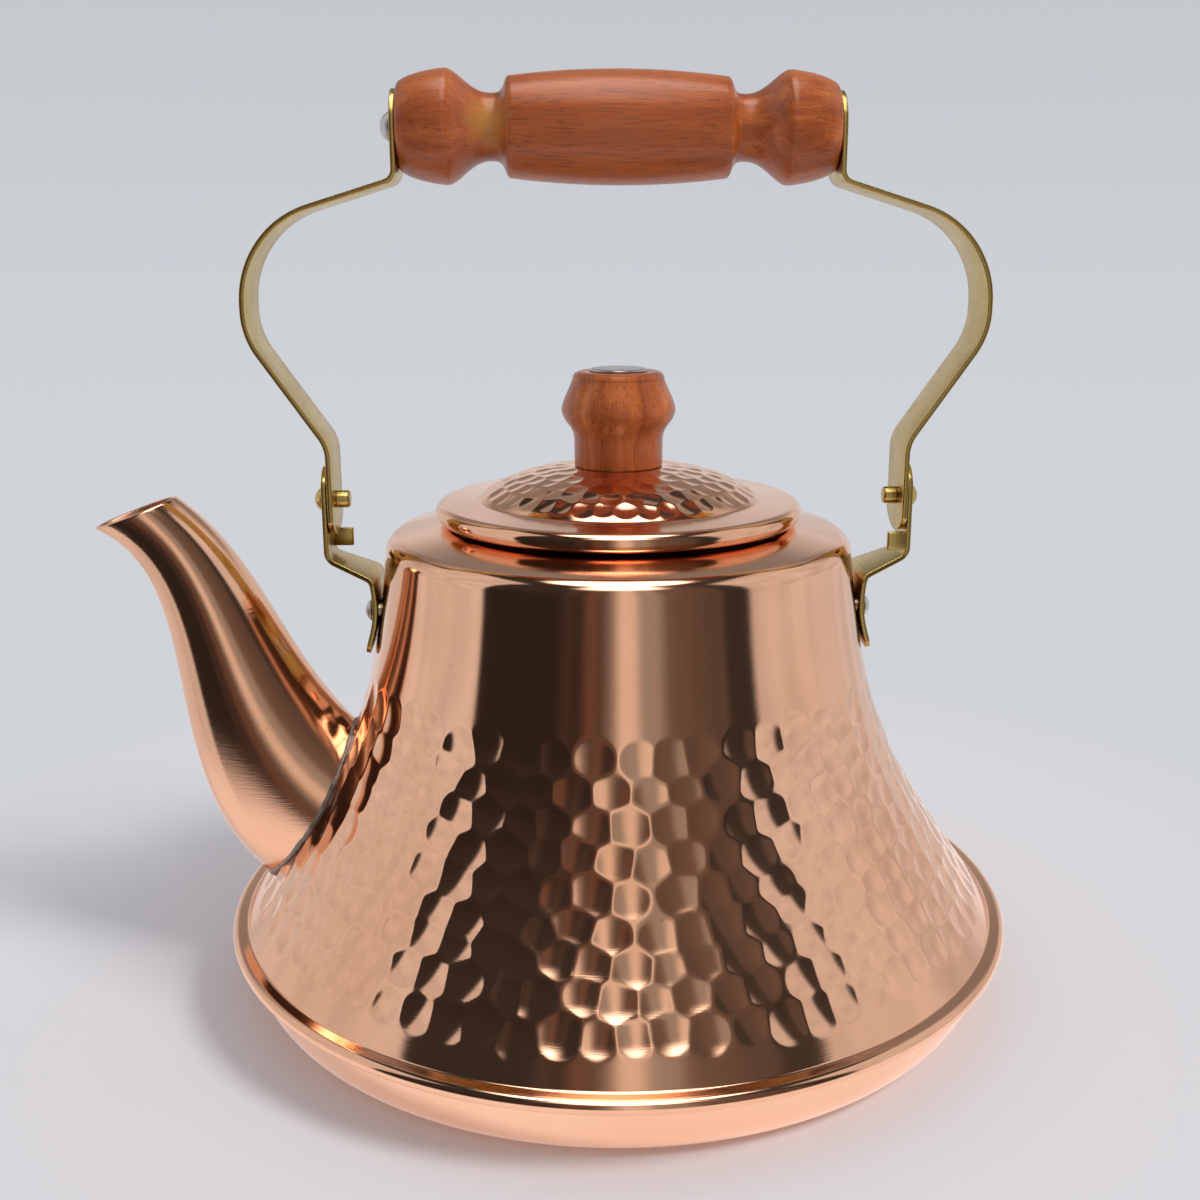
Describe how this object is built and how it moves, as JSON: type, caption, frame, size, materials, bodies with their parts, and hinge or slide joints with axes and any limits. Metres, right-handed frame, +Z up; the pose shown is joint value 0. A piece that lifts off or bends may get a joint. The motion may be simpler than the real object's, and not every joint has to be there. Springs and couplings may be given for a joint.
{
  "type": "copper kettle",
  "caption": "Flared copper kettle with a hammered band, soldered swan-neck spout, lift-off lid with a wooden knob, and a swinging brass bail with a turned wooden grip.",
  "frame": {"origin": "centre of the base's flat underside, on the body's axis", "axes": "+Z up along the body's axis, spout along -X, bail axis parallel to X, front of the kettle towards -Y"},
  "size_m": [0.2295, 0.2, 0.224],
  "materials": {
    "copper": "polished copper, finely brushed round the axis, with a hammered band",
    "brass": "pale stamped brass, satin with shiny cut edges",
    "wood": "turned hardwood, reddish brown stain under satin lacquer",
    "steel": "dull zinc-plated steel",
    "solder": "dull grey soft solder"
  },
  "bodies": {
    "kettle": {"body_shell": "copper", "base_pan": "copper", "spout": "copper", "spout_solder": "solder", "ear_left": "brass", "ear_right": "brass", "pivot_rivet_left": "brass", "pivot_rivet_right": "brass", "pivot_washer_left": "brass", "pivot_washer_right": "brass", "ear_rivet_left_front": "steel", "ear_rivet_left_back": "steel", "ear_rivet_right_front": "steel", "ear_rivet_right_back": "steel"},
    "bail": {"bail_strap_left": "brass", "bail_strap_right": "brass", "grip_rod": "steel"},
    "grip": {"grip": "wood"},
    "lid": {"lid_cover": "copper", "lid_collar": "copper", "lid_knob": "wood", "knob_bolt": "steel", "knob_washer": "steel", "knob_nut": "steel"}
  },
  "joints": [
    {"name": "bail_swing", "type": "hinge", "parent": "kettle", "child": "bail", "pos_m": [0, 0, 0.1234], "axis": [1, 0, 0], "range_deg": [-30, 30]},
    {"name": "grip_spin", "type": "hinge", "parent": "bail", "child": "grip", "pos_m": [0, 0, 0.211], "axis": [1, 0, 0], "continuous": true},
    {"name": "lid_lift", "type": "slide", "parent": "kettle", "child": "lid", "axis": [0, 0, 1], "range_m": [0, 0.038]}
  ]
}
